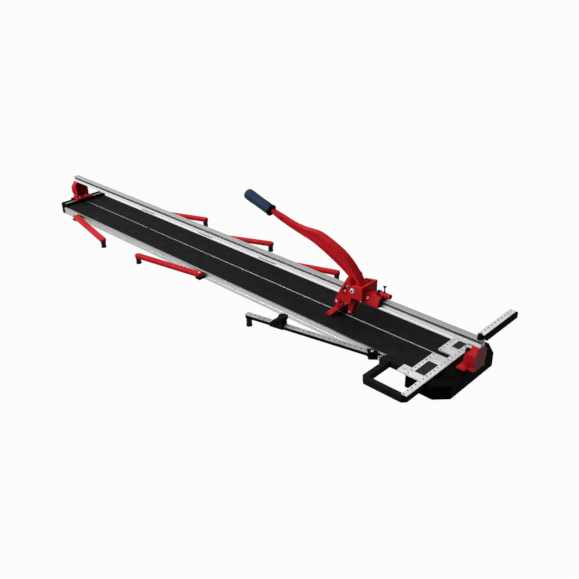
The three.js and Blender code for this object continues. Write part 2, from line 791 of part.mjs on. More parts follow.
function makeRearRule() {
    const bottom = railTop + fitGap;
    const top = bottom + rearArmThickness;
    const left = rearArmX - rearArmHalfWidth;
    const right = rearArmX + rearArmHalfWidth;
    const tailTop = bottom + rearArmTailThickness;
    const stemHole = rod("z", rearArmX, 0, rearKnobStemRadius + fitGap, railTop - cutOverrun,
        tailTop + cutOverrun, pinSides);
    addPiece("rear_rule_arm", "blackPlastic", cut(join(
        box(left, right, -rearArmTail, rearArmStart + fitGap, bottom, tailTop),
        box(left, right, rearArmStart, rearArmLength, bottom, top),
        box(left, right, rearArmDeepStart, rearArmLength, bottom - rearArmDeepDrop, bottom + fitGap),
    ), stemHole));
    addPiece("rear_rule", "aluminium",
        box(left, right - rearRuleRim, rearArmStart, rearArmLength, top, rearRuleTop));
    const knobFoot = tailTop + fitGap;
    addPiece("rear_rule_knob", "blackPlastic", spun(rearArmX, 0, [
        [0, railTop - rearKnobStemDepth], [rearKnobStemRadius, railTop - rearKnobStemDepth],
        [rearKnobStemRadius, knobFoot], [rearKnobRadius, knobFoot],
        [rearKnobRadius, knobFoot + rearKnobHeight], [0, knobFoot + rearKnobHeight],
    ], pinSides));
}

// Round pocket in the carriage wall for one roller, with the roller's pin left standing
function rollerPocket(x, y) {
    const bottom = rollerZ - rollerThickness / 2 - fitGap;
    const top = rollerZ + rollerThickness / 2 + fitGap;
    return cut(
        rod("z", x, y, rollerRadius + rollerPocketGap, bottom, top),
        rod("z", x, y, rollerPinRadius, bottom - cutOverrun, top + cutOverrun, pinSides),
    );
}

function makeCarriageBody() {
    const cheek = [
        [headLeft, headBottom], [headRight, headBottom], [headRight, headTop],
        [headLeft, headTop - headTopDrop],
    ];
    const saddleHalf = [
        [saddleHalfWidth, carriageBottom], [saddleHalfWidth, carriageBottom + saddleSkirtHeight],
        [saddleTopHalfWidth, saddleTop],
    ];
    const tunnelTop = railTop + railRunningGap;
    const tunnelHalf = railHalfWidth + railRunningGap;
    const channelHalf = headHalfWidth - headCheekThickness;
    const head = cut(
        prism("y", cheek, -headHalfWidth, headHalfWidth),
        box(headLeft - cutOverrun, headRight - headEndThickness, -channelHalf, channelHalf, tunnelTop,
            headTop + cutOverrun),
    );
    const saddle = prism("x", [...saddleHalf, ...mirrored(saddleHalf)], headRight - fitGap, saddleRight);
    const skirt = box(headLeft, headRight, -saddleHalfWidth, saddleHalfWidth, carriageBottom,
        headBottom + fitGap);
    const cradle = cut(
        box(tubeLeft, saddleRight, -cradleHalfWidth, cradleHalfWidth, saddleTop - fitGap, tubeZ),
        rod("x", 0, tubeZ, tubeRadius + fitGap, tubeLeft - cutOverrun, saddleRight + cutOverrun),
    );
    const tunnel = box(headLeft - cutOverrun, saddleRight + cutOverrun, -tunnelHalf, tunnelHalf,
        carriageBottom - cutOverrun, tunnelTop);
    const pivotBore = rod("y", pivotX, pivotZ, pivotRadius + fitGap, -headHalfWidth - cutOverrun,
        headHalfWidth + cutOverrun);
    const pockets = Object.values(rollerPlaces).map(([x, y]) => rollerPocket(x, y));
    return cut(join(head, saddle, skirt, cradle), tunnel, pivotBore, ...pockets);
}

function makeWiper() {
    const left = saddleRight + fitGap;
    const top = saddleTop - wiperTopDrop;
    const half = railHalfWidth + wiperRunningGap;
    return cut(
        box(left, left + wiperThickness, -wiperHalfWidth, wiperHalfWidth, top - wiperHeight, top),
        box(left - cutOverrun, left + wiperThickness + cutOverrun, -half, half,
            top - wiperHeight - cutOverrun, railTop + wiperRunningGap),
    );
}

function makeCarriage() {
    addPiece("carriage_body", "redPaint", makeCarriageBody());
    addPiece("carriage_wiper", "blackRubber", makeWiper());
    for (const [place, [x, y]] of Object.entries(rollerPlaces)) {
        const bottom = rollerZ - rollerThickness / 2;
        const top = rollerZ + rollerThickness / 2;
        addPiece(`${place}_rail_roller`, "steel", cut(
            rod("z", x, y, rollerRadius, bottom, top),
            rod("z", x, y, rollerPinRadius + fitGap, bottom - cutOverrun, top + cutOverrun, pinSides),
        ));
    }
    const stemFoot = tubeZ + tubeRadius - thumbStemDepth;
    addPiece("tail_tube", "redPaint", cut(
        rod("x", 0, tubeZ, tubeRadius, tubeLeft, tubeRight),
        rod("x", 0, tubeZ, tubeBoreRadius, tubeRight - tubeBoreDepth, tubeRight + cutOverrun, pinSides),
        rod("z", thumbScrewX, 0, thumbStemRadius + fitGap, stemFoot - fitGap, tubeZ + 2 * tubeRadius,
            pinSides),
    ));
    const headFoot = stemFoot + thumbStemDepth + thumbStemRise;
    addPiece("tail_thumb_screw", "blackPlastic", spun(thumbScrewX, 0, [
        [0, stemFoot], [thumbStemRadius, stemFoot], [thumbStemRadius, headFoot],
        [thumbHeadRadius, headFoot], [thumbHeadRadius, headFoot + thumbHeadHeight],
        [0, headFoot + thumbHeadHeight],
    ], pinSides));
    addPiece("lever_pivot_bolt", "steel", join(
        rod("y", pivotX, pivotZ, pivotRadius, -headHalfWidth - 2 * fitGap, headHalfWidth),
        prism("y", circle(pivotX, pivotZ, pivotHeadRadius, 6), -headHalfWidth - fitGap - pivotHeadHeight,
            -headHalfWidth - fitGap),
    ));
}

function leverPoint([reach, rise]) {
    return new THREE.Vector2(pivotX - reach * leverReach, pivotZ + rise * leverRise);
}

function smoothLine(shares) {
    return new THREE.SplineCurve(shares.map(leverPoint)).getPoints(leverCurveSteps);
}

// Height of a line of points at x, between its two nearest points
function heightAt(points, x) {
    const ordered = [...points].sort((a, b) => a.x - b.x);
    const next = Math.max(1, ordered.findIndex((point) => point.x >= x));
    const [low, high] = [ordered[next - 1], ordered[next]];
    return THREE.MathUtils.mapLinear(x, low.x, high.x, low.y, high.y);
}

// Extrudes a lever outline across the lever, narrowing it towards the neck
function taperedPrism(points, from, to) {
    const geometry = geometryOf(prism("y", points, from, to));
    const places = geometry.attributes.position;
    for (let i = 0; i < places.count; i += 1) {
        const reach = THREE.MathUtils.clamp((pivotX - places.getX(i)) / leverReach, 0, 1);
        const width = THREE.MathUtils.lerp(1, leverNeckHalfWidth / leverHalfWidth, reach);
        places.setY(i, places.getY(i) * width);
    }
    return solidOf(geometry);
}

function makeLeverArm() {
    const top = smoothLine(leverTopShares);
    const bottom = smoothLine(leverBottomShares);
    const side = [...top, ...bottom].map((point) => point.toArray());
    const arm = taperedPrism(side, -leverHalfWidth, leverHalfWidth);
    const upper = [];
    const lower = [];
    for (let i = 0; i <= panelSteps; i += 1) {
        const reach = THREE.MathUtils.lerp(panelStartShare, panelEndShare, i / panelSteps);
        const x = pivotX - reach * leverReach;
        const high = heightAt(top, x);
        const low = heightAt(bottom, x);
        upper.push([x, THREE.MathUtils.lerp(high, low, panelMarginShare)]);
        lower.unshift([x, THREE.MathUtils.lerp(low, high, panelMarginShare)]);
    }
    const web = leverHalfWidth - leverPanelDepth;
    const outside = leverHalfWidth + leverPanelOverrun;
    const panel = [...upper, ...lower];
    return cut(arm, taperedPrism(panel, -outside, -web), taperedPrism(panel, web, outside));
}

function legPoints(shares) {
    return shares.map(([across, up]) => [pivotX + across * legHeight, pivotZ + up * legHeight]);
}

// Matrix that stands a vertical piece on the grip's near end and leans it along the grip
function gripFrame() {
    const lean = THREE.MathUtils.degToRad(gripSlopeDegrees) - Math.PI / 2;
    const neck = leverPoint(leverTopShares[0]);
    const tip = leverPoint(leverBottomShares[leverBottomShares.length - 1]);
    return new THREE.Matrix4()
        .makeTranslation(neck.x - gripNeckGap, 0, (neck.y + tip.y) / 2 - gripNeckDrop)
        .multiply(new THREE.Matrix4().makeRotationY(lean));
}

function makeLever() {
    const wheelSlotHalf = wheelThickness / 2 + wheelSlotGap;
    const yokeChannel = box(footPinX - legHeight, headLeft + cutOverrun, -yokeInnerHalfWidth,
        yokeInnerHalfWidth, wheelZ, railTop + yokeRailGap);
    const channelHalf = headHalfWidth - headCheekThickness - fitGap;
    const armRoot = [
        leverPoint(leverTopShares[leverTopShares.length - 1]).toArray(),
        leverPoint(leverBottomShares[0]).toArray(),
        [pivotX - leverHubRadius, pivotZ], [pivotX + leverHubRadius, pivotZ],
    ];
    const body = join(
        makeLeverArm(),
        prism("y", armRoot, -leverHalfWidth, leverHalfWidth),
        rod("y", pivotX, pivotZ, leverHubRadius, -channelHalf, channelHalf),
        cut(prism("y", legPoints(yokeShares), -yokeHalfWidth, yokeHalfWidth), yokeChannel),
        prism("y", legPoints(crossBeamShares), -yokeHalfWidth, yokeHalfWidth),
        prism("y", legPoints(legShares), -legHalfWidth, legHalfWidth),
        placed(rod("z", 0, 0, tangRadius, -tangRoot, tangLength), gripFrame()),
    );
    const recesses = [-1, 1].map((side) => {
        const floor = side * (yokeHalfWidth - yokeRecessDepth);
        const open = side * (yokeHalfWidth + cutOverrun);
        return prism("y", legPoints(yokeRecessShares), Math.min(floor, open), Math.max(floor, open));
    });
    addPiece("lever", "redPaint", cut(
        body,
        ...recesses,
        rod("y", pivotX, pivotZ, pivotRadius + fitGap, -headHalfWidth, headHalfWidth),
        box(wheelX - legHeight, wheelX + legHeight, -wheelSlotHalf, wheelSlotHalf,
            wheelZ - 2 * wheelRadius, wheelZ + wheelRadius + wheelSlotHeadroom),
        rod("y", wheelX, wheelZ, axleRadius + fitGap, -yokeHalfWidth, yokeHalfWidth, pinSides),
        rod("y", footPinX, footPinZ, footPinRadius + fitGap, -headHalfWidth, headHalfWidth, pinSides),
    ));
}

function makeGrip() {
    const stand = gripFrame();
    const bore = tangRadius + fitGap;
    const start = collarLength + fitGap;
    const shoulder = gripLength - gripEndLength;
    const leaning = (solid) => placed(solid, stand);
    addPiece("grip_collar", "blackPlastic", leaning(cut(
        rod("z", 0, 0, collarRadius, 0, collarLength),
        rod("z", 0, 0, bore, -cutOverrun, collarLength + cutOverrun),
    )));
    addPiece("grip", "blueGrip", leaning(cut(
        spun(0, 0, [
            [0, start], [gripRadius, start], [gripRadius, shoulder - gripEndLength],
            [gripRadius * gripShoulderShare, shoulder], [gripEndRadius, gripLength], [0, gripLength],
        ]),
        rod("z", 0, 0, bore, start - cutOverrun, tangLength + fitGap),
    )));
}

// The wheel lies on its side while it is spun, and is then stood on the axle
function makeWheel() {
    const half = wheelThickness / 2;
    const edge = wheelEdgeThickness / 2;
    const rim = wheelRadius - (half - edge);
    const disc = cut(
        spun(0, 0, [
            [0, -half], [rim, -half], [wheelRadius, -edge], [wheelRadius, edge], [rim, half], [0, half],
        ]),
        rod("z", 0, 0, axleRadius + fitGap, -cutOverrun, cutOverrun, pinSides),
    );
    const upright = new THREE.Matrix4().makeTranslation(wheelX, 0, wheelZ)
        .multiply(new THREE.Matrix4().makeRotationX(Math.PI / 2));
    addPiece("scoring_wheel", "steel", placed(disc, upright));
    const axleEnd = legHalfWidth + fitGap;
    addPiece("wheel_axle", "steel", join(
        rod("y", wheelX, wheelZ, axleRadius, -axleEnd - fitGap, legHalfWidth, pinSides),
        rod("y", wheelX, wheelZ, axleHeadRadius, -axleEnd - axleHeadHeight, -axleEnd, pinSides),
    ));
}

function makeFoot() {
    const padBottom = bedTop + footBedGap;
    const crownTop = padBottom + footArch + footEndThickness;
    const half = [
        [footHalfLength, padBottom + footEndThickness], [footHalfLength, padBottom],
        [footHalfLength - footPadLength, padBottom], [footCrownHalfWidth, padBottom + footArch],
    ];
    const crown = [footCrownHalfWidth, crownTop];
    const bar = prism("x", [crown, ...half, ...mirrored(half), [-footCrownHalfWidth, crownTop]],
        footLeft, footLeft + footTilt + footWidth);
    const lean = prism("y", [
        [footLeft, padBottom], [footLeft + footWidth, padBottom],
        [footLeft + footTilt + footWidth, crownTop], [footLeft + footTilt, crownTop],
    ], -footHalfLength, footHalfLength);
    const armOutline = [
        [footPinX - footEyeRadius, footPinZ], [footPinX + footEyeRadius, footPinZ],
        [footLeft + footWidth, crownTop - footArmSink],
        [footLeft + footTilt, crownTop - footArmSink],
    ];
    const outer = yokeInnerHalfWidth - footArmGap;
    const arms = [-1, 1].map((side) => {
        const near = Math.min(side * footArmInner, side * outer);
        const far = Math.max(side * footArmInner, side * outer);
        return join(
            prism("y", armOutline, near, far),
            rod("y", footPinX, footPinZ, footEyeRadius, near, far),
        );
    });
    addPiece("breaking_foot", "redPaint", cut(
        join(bar.intersect(lean), ...arms),
        rod("y", footPinX, footPinZ, footPinRadius + fitGap, -yokeHalfWidth, yokeHalfWidth, pinSides),
    ));
    const pinEnd = yokeHalfWidth + fitGap;
    addPiece("foot_pin", "steel", join(
        rod("y", footPinX, footPinZ, footPinRadius, -pinEnd - fitGap, yokeHalfWidth, pinSides),
        rod("y", footPinX, footPinZ, footPinHeadRadius, -pinEnd - footPinHeadHeight, -pinEnd, pinSides),
    ));
}

// A bar with round ends and softened edges, from the pivot at the origin out along X
function makeArmBar() {
    const outline = new THREE.Shape();
    outline.absarc(0, 0, armHalfWidth, Math.PI / 2, 1.5 * Math.PI);
    outline.absarc(armLength, 0, armHalfWidth, -Math.PI / 2, Math.PI / 2);
    const geometry = new THREE.ExtrudeGeometry(outline, {
        depth: armThickness - 2 * armEdge,
        bevelThickness: armEdge,
        bevelSize: armEdge,
        bevelOffset: -armEdge,
        bevelSegments: 2,
        curveSegments: armEndSides,
    });
    geometry.translate(0, 0, armUnderside + armEdge);
    return cut(solidOf(geometry), rod("z", 0, 0, armPinRadius + fitGap, armUnderside - cutOverrun,
        armUnderside + armPinHeight + fitGap, pinSides));
}

function makeRubberFoot(x, top) {
    return spun(x, 0, [
        [0, 0], [armFootRadius - armFootChamfer, 0], [armFootRadius, armFootChamfer],
        [armFootWaist, top / 2], [armFootRadius, top], [0, top],
    ], pinSides);
}

// A lug under the arm, carried by the bed's side, with the pin that the arm turns on
function makeArmBracket(x, side) {
    const bedSide = side * (outerHalfWidth + fitGap);
    const pivotY = side * armPivotOffset;
    const outer = pivotY + side * armHalfWidth;
    const top = armUnderside - fitGap;
    return join(
        box(x - armBracketHalfLength, x + armBracketHalfLength, Math.min(bedSide, outer),
            Math.max(bedSide, outer), top - armBracketThickness, top),
        rod("z", x, pivotY, armPinRadius, top - fitGap, armUnderside + armPinHeight, pinSides),
    );
}

function makeOutriggers() {
    for (const { name, bedShare, side, restDegrees } of outriggers) {
        const x = bedShare * bedLength;
        addPiece(`${name}_arm_bracket`, "blackPaint", makeArmBracket(x, side));
        const swing = new THREE.Group();
        swing.position.set(x, side * armPivotOffset, 0);
        swing.rotation.z = THREE.MathUtils.degToRad(restDegrees);
        addPiece(`${name}_arm`, "redPaint", makeArmBar(), swing);
        addPiece(`${name}_arm_foot`, "blackRubber", makeRubberFoot(armLength, armUnderside - fitGap), swing);
        cutter.add(swing);
    }
}

function makeMeasuringBracket() {
    const bedSide = -outerHalfWidth - fitGap;
    const pivotY = -measuringPivotOffset;
    const x = measuringPivotX;
    const lugTop = measuringArmUnderside - fitGap;
    const plateBottom = measuringArmUnderside + measuringArmThickness + fitGap;
    const plateTop = plateBottom + measuringPlateThickness;
    const half = measuringPlateHalfLength;
    const plate = [
        [x - half / 2, bedSide], [x - half, pivotY], [x, pivotY - measuringPlateFront],
        [x + half, pivotY], [x + half / 2, bedSide],
    ];
    return join(
        prism("z", plate, lugTop - armBracketThickness, lugTop),
        prism("z", plate, plateBottom, plateTop),
        rod("z", x, pivotY, armPinRadius, lugTop - fitGap, plateTop, pinSides),
        rod("z", x, pivotY, measuringHeadRadius, plateTop - fitGap, plateTop + measuringHeadHeight, 6),
    );
}

function makeMeasuringBar() {
    const bottom = measuringArmUnderside;
    const top = bottom + measuringArmThickness;
    const half = [
        [measuringArmHalfWidth, bottom], [measuringArmHalfWidth, top - measuringBevel],
        [measuringArmHalfWidth - measuringBevel, top],
    ];
    const corner = measuringArmHalfWidth - measuringEndChamfer;
    const plan = [
        [-measuringArmTail, -measuringArmHalfWidth],
        [measuringArmLength - measuringEndChamfer, -measuringArmHalfWidth],
        [measuringArmLength, -corner], [measuringArmLength, corner],
        [measuringArmLength - measuringEndChamfer, measuringArmHalfWidth],
        [-measuringArmTail, measuringArmHalfWidth],
    ];
    const bar = prism("x", [...half, ...mirrored(half)], -measuringArmTail, measuringArmLength);
    return cut(
        bar.intersect(prism("z", plan, bottom, top)),
        rod("z", 0, 0, armPinRadius + fitGap, bottom - cutOverrun, top + cutOverrun, pinSides),
    );
}

// A sleeve that slides on the measuring arm
function makeMeasuringStop() {
    const channelBottom = measuringArmUnderside - fitGap;
    const channelTop = measuringArmUnderside + measuringArmThickness + fitGap;
    const channelHalf = measuringArmHalfWidth + fitGap;
    const half = channelHalf + measuringStopWall;
    const left = measuringStopDistance - measuringStopHalfLength;
    const right = measuringStopDistance + measuringStopHalfLength;
    const outline = [
        [left, channelBottom - measuringStopWall], [right, channelBottom - measuringStopWall],
        [right, channelTop + measuringStopLip], [right - measuringStopSlope, stopTop],
        [left + measuringStopStep, stopTop], [left, stopTop - measuringStopStepHeight],
    ];
    return cut(
        prism("y", outline, -half, half),
        box(left - cutOverrun, right + cutOverrun, -channelHalf, channelHalf, channelBottom, channelTop),
        rod("z", stopKnobX, 0, stopKnobStemRadius + fitGap,
            stopTop - stopKnobStemDepth - measuringStopStepHeight, stopTop + cutOverrun, pinSides),
    );
}

function makeStopKnob() {
    const headBottom = stopTop + stopKnobStemRise;
    const outline = Array.from({ length: fineSides * 2 }, (_, i) => {
        const angle = (i / (fineSides * 2)) * 2 * Math.PI;
        const radius = stopKnobRadius * (1 - stopKnobLobeShare * (1 - Math.cos(stopKnobLobes * angle)) / 2);
        return [stopKnobX + radius * Math.cos(angle), radius * Math.sin(angle)];
    });
    return join(
        prism("z", outline, headBottom, headBottom + stopKnobHeight),
        rod("z", stopKnobX, 0, stopKnobStemRadius, stopTop - stopKnobStemDepth - stopKnobStemRise,
            headBottom + fitGap, pinSides),
    );
}

function makeMeasuringArm() {
    addPiece("measuring_arm_bracket", "blackPaint", makeMeasuringBracket());
    const swing = new THREE.Group();
    swing.position.set(measuringPivotX, -measuringPivotOffset, 0);
    swing.rotation.z = THREE.MathUtils.degToRad(measuringRestDegrees);
    addPiece("measuring_arm", "aluminium", makeMeasuringBar(), swing);
    addPiece("measuring_arm_foot", "blackRubber",
        makeRubberFoot(measuringArmLength - measuringFootInset, measuringArmUnderside - fitGap), swing);
    addPiece("measuring_stop", "blackPlastic", makeMeasuringStop(), swing);
    addPiece("measuring_stop_knob", "blackPlastic", makeStopKnob(), swing);
    cutter.add(swing);
}

makeBed();
makeCastings();
addPiece("carry_loop", "blackPlastic", makeCarryLoop());
makeRailSupports();
makeFence();
makeRearRule();
makeCarriage();
makeLever();
makeGrip();
makeWheel();
makeFoot();
makeOutriggers();
makeMeasuringArm();

export default cutter;
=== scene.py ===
"""Looks of a rail cutter for large ceramic tiles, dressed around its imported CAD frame.

The frame is in metres, +Z up. Sizes and places in this script are in millimetres, and turns are in degrees,
unless a line says otherwise."""

import json
import math

import bmesh
import bpy
from mathutils import Matrix, Vector


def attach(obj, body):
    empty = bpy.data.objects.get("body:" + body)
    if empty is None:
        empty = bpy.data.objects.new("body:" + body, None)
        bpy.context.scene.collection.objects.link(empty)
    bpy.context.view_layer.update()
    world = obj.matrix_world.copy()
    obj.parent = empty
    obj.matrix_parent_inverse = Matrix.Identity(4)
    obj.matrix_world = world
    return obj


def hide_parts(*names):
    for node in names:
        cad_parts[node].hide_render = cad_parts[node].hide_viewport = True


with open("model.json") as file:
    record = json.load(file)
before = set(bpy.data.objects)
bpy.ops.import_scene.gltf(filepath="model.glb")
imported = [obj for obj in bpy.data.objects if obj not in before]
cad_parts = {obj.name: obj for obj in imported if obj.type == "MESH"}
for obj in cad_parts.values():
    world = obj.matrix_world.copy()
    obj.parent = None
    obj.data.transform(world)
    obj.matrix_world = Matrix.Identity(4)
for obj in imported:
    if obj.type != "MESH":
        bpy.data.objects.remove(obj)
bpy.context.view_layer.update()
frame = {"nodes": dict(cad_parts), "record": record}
nodes = frame["nodes"]
body_of = {node: body for body, members in frame["record"]["behaviour"]["bodies"].items() for node in members}
MM = 0.001

# Places that several pieces share
measuring_pivot, measuring_turn = (1894, -134), 191.6
lever_pivot = (1732, -42.2, 179)
saddle_screw_place, saddle_screw_turn = (1782.5, -22.9, 163.4), (55.6, 0, 0)
tube_height = 184
rear_rule_hinge = 2195
upright, facing_front = (0, 0, 0), (90, 0, 0)


# ---- shaders ----

def srgb(code):
    """A hex colour as the linear values that a shader socket takes."""
    channels = [int(code[i:i + 2], 16) / 255 for i in (1, 3, 5)]
    return [c / 12.92 if c <= 0.04045 else ((c + 0.055) / 1.055) ** 2.4 for c in channels] + [1.0]


def shader_node(tree, kind, inputs=None, **settings):
    """Adds a node with its properties, and fills its inputs with plain values or other nodes' outputs."""
    made = tree.nodes.new("ShaderNode" + kind)
    for key, value in settings.items():
        setattr(made, key, value)
    for key, value in (inputs or {}).items():
        if isinstance(value, bpy.types.NodeSocket):
            tree.links.new(value, made.inputs[key])
        else:
            made.inputs[key].default_value = value
    return made


patch_grains = 30                           # grains across one broad patch of tone
tone_low, tone_high = 0.12, 0.4             # where the product of the two noises mostly lies
grain_low, grain_high = 0.3, 0.7            # where the fine noise mostly lies


def surface(name, light, dark, grain, relief, roughness, metallic=0.0, stretch=(1, 1, 1), marks=None,
            **shine):
    """A material with two tones, and with a grain and a relief that may be stretched along the axes.

    roughness is its lowest and highest value. marks takes the tree and the object coordinates, and gives the
    masks of printed marks and of painted shade, each with its colour, which is no metal. shine holds
    constants for the shader's own sockets."""
    material = bpy.data.materials.new(name)
    material.use_nodes = True
    tree = material.node_tree
    tree.nodes.clear()
    coordinates = shader_node(tree, "TexCoord").outputs["Object"]
    stretched = shader_node(tree, "Mapping", {"Vector": coordinates, "Scale": stretch}).outputs["Vector"]
    fine = shader_node(tree, "TexNoise", {
        "Vector": stretched, "Scale": 1 / (grain * MM), "Detail": 3.0, "Roughness": 0.6,
    }).outputs["Fac"]
    broad = shader_node(tree, "TexNoise", {
        "Vector": stretched, "Scale": 1 / (patch_grains * grain * MM), "Detail": 2.0,
    }).outputs["Fac"]
    tone = shader_node(tree, "Math", {0: fine, 1: broad}, operation="MULTIPLY").outputs[0]
    tone = shader_node(tree, "MapRange", {
        "Value": tone, "From Min": tone_low, "From Max": tone_high,
    }).outputs[0]
    colour = shader_node(tree, "Mix", {0: tone, 6: srgb(dark), 7: srgb(light)}, data_type="RGBA").outputs[2]
    for mask, ink_and_shade in marks(tree, coordinates) if marks else ():
        colour = shader_node(tree, "Mix", {0: mask, 6: colour, 7: srgb(ink_and_shade)}, data_type="RGBA").outputs[2]
        bare = shader_node(tree, "Math", {0: 1.0, 1: mask}, operation="SUBTRACT").outputs[0]
        metallic = shader_node(tree, "Math", {0: metallic, 1: bare}, operation="MULTIPLY").outputs[0]
    gloss = shader_node(tree, "MapRange", {
        "Value": fine, "From Min": grain_low, "From Max": grain_high,
        "To Min": roughness[0], "To Max": roughness[1],
    }).outputs[0]
    bump = shader_node(tree, "Bump", {"Height": fine, "Distance": relief * MM, "Strength": 0.6}).outputs[0]
    shader = shader_node(tree, "BsdfPrincipled", {
        "Base Color": colour, "Roughness": gloss, "Normal": bump, "Metallic": metallic, **shine,
    })
    shader_node(tree, "OutputMaterial", {"Surface": shader.outputs[0]})
    return material


def scale_marks(turn, x, y, start, length):
    """Printed ticks every 5 mm, longer every 10 mm, and a figure every 20 mm, on a rule turned about x, y.

    In the rule's own frame the ticks repeat along X, and run along Y from start. The longer ones have the
    given length. The figures are no more than small blocks."""
    # pitch, width, and the distances from start at which the mark begins and ends
    short_ticks = (5, 0.7, 0, length / 2)
    long_ticks = (10, 1.0, 0, length)
    figures = (20, 5.0, length + 1, length + 6)

    def masks(tree, coordinates):
        local = shader_node(tree, "Mapping", {
            "Vector": coordinates, "Rotation": (0, 0, math.radians(turn)), "Scale": (MM, MM, MM),
            "Location": Vector((x, y, 0)) * MM,
        }, vector_type="TEXTURE").outputs[0]
        split = shader_node(tree, "SeparateXYZ", {0: local}).outputs
        layers = []
        for pitch, width, low, high in (short_ticks, long_ticks, figures):
            step = shader_node(tree, "Math", {0: split[0], 1: pitch}, operation="FLOORED_MODULO").outputs[0]
            thin = shader_node(tree, "Math", {0: step, 1: width}, operation="LESS_THAN").outputs[0]
            rows = between(tree, split[1], start + low, start + high)
            mark = shader_node(tree, "Math", {0: rows, 1: thin}, operation="MULTIPLY").outputs[0]
            layers.append((mark, "#37383a"))
        return layers
    return masks


def between(tree, value, low, high):
    """A mask of the places where the value lies between two limits."""
    above = shader_node(tree, "Math", {0: value, 1: low}, operation="GREATER_THAN").outputs[0]
    below = shader_node(tree, "Math", {0: value, 1: high}, operation="LESS_THAN").outputs[0]
    return shader_node(tree, "Math", {0: above, 1: below}, operation="MULTIPLY").outputs[0]


def rail_groove_shade_and_band(tree, coordinates):
    """The roller grooves in the rail's sides, darkened almost to black as painted shade, and the white band
    with its scale below them.
    """
    band_low, tick_high, band_high = 140.3, 144, 153.2
    groove_shade_low, groove_shade_high = 153.4, 163.6
    tick_pitch, tick_width = 10, 0.8
    split = shader_node(tree, "SeparateXYZ", {0: coordinates}).outputs
    # Painted shade: the height band of the roller grooves is coloured almost black.
    groove_shade = between(tree, split[2], groove_shade_low * MM, groove_shade_high * MM)
    band = between(tree, split[2], band_low * MM, band_high * MM)
    step = shader_node(tree, "Math", {0: split[0], 1: tick_pitch * MM}, operation="FLOORED_MODULO").outputs[0]
    thin = shader_node(tree, "Math", {0: step, 1: tick_width * MM}, operation="LESS_THAN").outputs[0]
    rows = between(tree, split[2], band_low * MM, tick_high * MM)
    tick = shader_node(tree, "Math", {0: thin, 1: rows}, operation="MULTIPLY").outputs[0]
    return [(band, "#ffffff"), (tick, "#8a8a8b"), (groove_shade, "#2f3031")]


# Polyester powder coat on cast aluminium: a full red with a faint orange peel and a weak, cool sheen.
red_powder_coat = surface("red_powder_coat", "#d4232b", "#b81a22", 2.2, 0.03, (0.26, 0.34),
                          **{"Specular IOR Level": 0.02, "Specular Tint": srgb("#9fb4ff"),
                             "Coat Weight": 0.04, "Coat Roughness": 0.14})
# Grained rubber sheet: almost black and matt, with a fine grit that breaks the light up.
rubber_sheet = surface("rubber_sheet", "#212122", "#141415", 1.2, 0.12, (0.62, 0.8),
                       **{"Specular IOR Level": 0.05})
# Moulded rubber feet: darker than the mats, and duller.
moulded_rubber = surface("moulded_rubber", "#161617", "#0d0d0e", 0.9, 0.08, (0.6, 0.75),
                         **{"Specular IOR Level": 0.12})
# Textured black powder coat on castings, lugs and arms: a warm black with a low grain and hardly any sheen.
black_powder_coat = surface("black_powder_coat", "#151310", "#0b0a08", 1.6, 0.1, (0.42, 0.58),
                            **{"Specular IOR Level": 0.003})
# Glass-filled nylon: a dark, matt grey with a spark-eroded mould grain.
black_nylon = surface("black_nylon", "#222224", "#17171a", 0.8, 0.05, (0.42, 0.54),
                      **{"Specular IOR Level": 0.005})
# Extruded aluminium of the front bed half and the ridges: light grey, with fine lines that run lengthwise.
drawn_aluminium = surface("drawn_aluminium", "#c8c9c9", "#acadae", 1.0, 0.01, (0.3, 0.42), 1.0,
                          stretch=(0.01, 1, 1))
# The same metal on the rear bed half, lighter and less metallic than the front half as painted light, so that
# it shows almost white.
painted_light_aluminium = surface("painted_light_aluminium", "#f6f6f6", "#e6e7e7", 1.0, 0.01, (0.35, 0.45), 0.35,
                           stretch=(0.01, 1, 1))
# Clear anodised aluminium of the rail, with painted shade in its roller grooves and a white band with ticks
# below them.
anodised_aluminium = surface("anodised_aluminium", "#cdcece", "#bcbdbe", 1.0, 0.01, (0.3, 0.4), 0.85,
                             stretch=(0.01, 1, 1), marks=rail_groove_shade_and_band)
# Bead-blasted aluminium for fence and rules: a fine silver speckle, with printed marks.
blasted = (1.4, 0.03, (0.38, 0.52), 0.3)
silver = ("#fbfbfb", "#d6d7d7", *blasted)
fence_aluminium = surface("fence_aluminium", *silver, marks=scale_marks(-90, 2046, 0, 0.8, 4))
fence_rule_aluminium = surface("fence_rule_aluminium", *silver, marks=scale_marks(90, 2120, 0, 6.5, 4))
rear_rule_aluminium = surface("rear_rule_aluminium", *silver, marks=scale_marks(-90, 2181, 0, 0.8, 4))
# The measuring arm's strip, blasted too, but darker.
measuring_aluminium = surface("measuring_aluminium", "#c6c7c7", "#98999a", *blasted,
                              marks=scale_marks(measuring_turn, *measuring_pivot, -10, 4))
# The stop strip on the left casting: grey anodised.
grey_anodised = surface("grey_anodised", "#8f9091", "#7c7d7e", 1.0, 0.01, (0.35, 0.45), 0.8,
                        stretch=(1, 0.01, 1))
# Zinc-plated steel: a pale, cool grey, lighter and less metallic than the real plating, so that the heads
# show a painted highlight from all sides.
zinc_plate = surface("zinc_plate", "#eceef0", "#d6d8dc", 3.0, 0.01, (0.22, 0.34), 0.5)
# Ground tungsten carbide: a dark, dense grey metal.
ground_carbide = surface("ground_carbide", "#8d8e90", "#77787b", 0.6, 0.01, (0.2, 0.3), 1.0)
# Bearing steel of the rail rollers, darkened almost to black as painted shade, since they sit in the rail's
# shaded grooves.
shaded_roller_steel = surface("shaded_roller_steel", "#2a2a2b", "#1c1c1d", 1.0, 0.01, (0.35, 0.45), 0.8)
# Soft moulded rubber of the grip: navy, with a dull sheen and a light grain.
navy_rubber = surface("navy_rubber", "#203a5c", "#14263f", 1.5, 0.08, (0.5, 0.64),
                      **{"Specular IOR Level": 0.15})
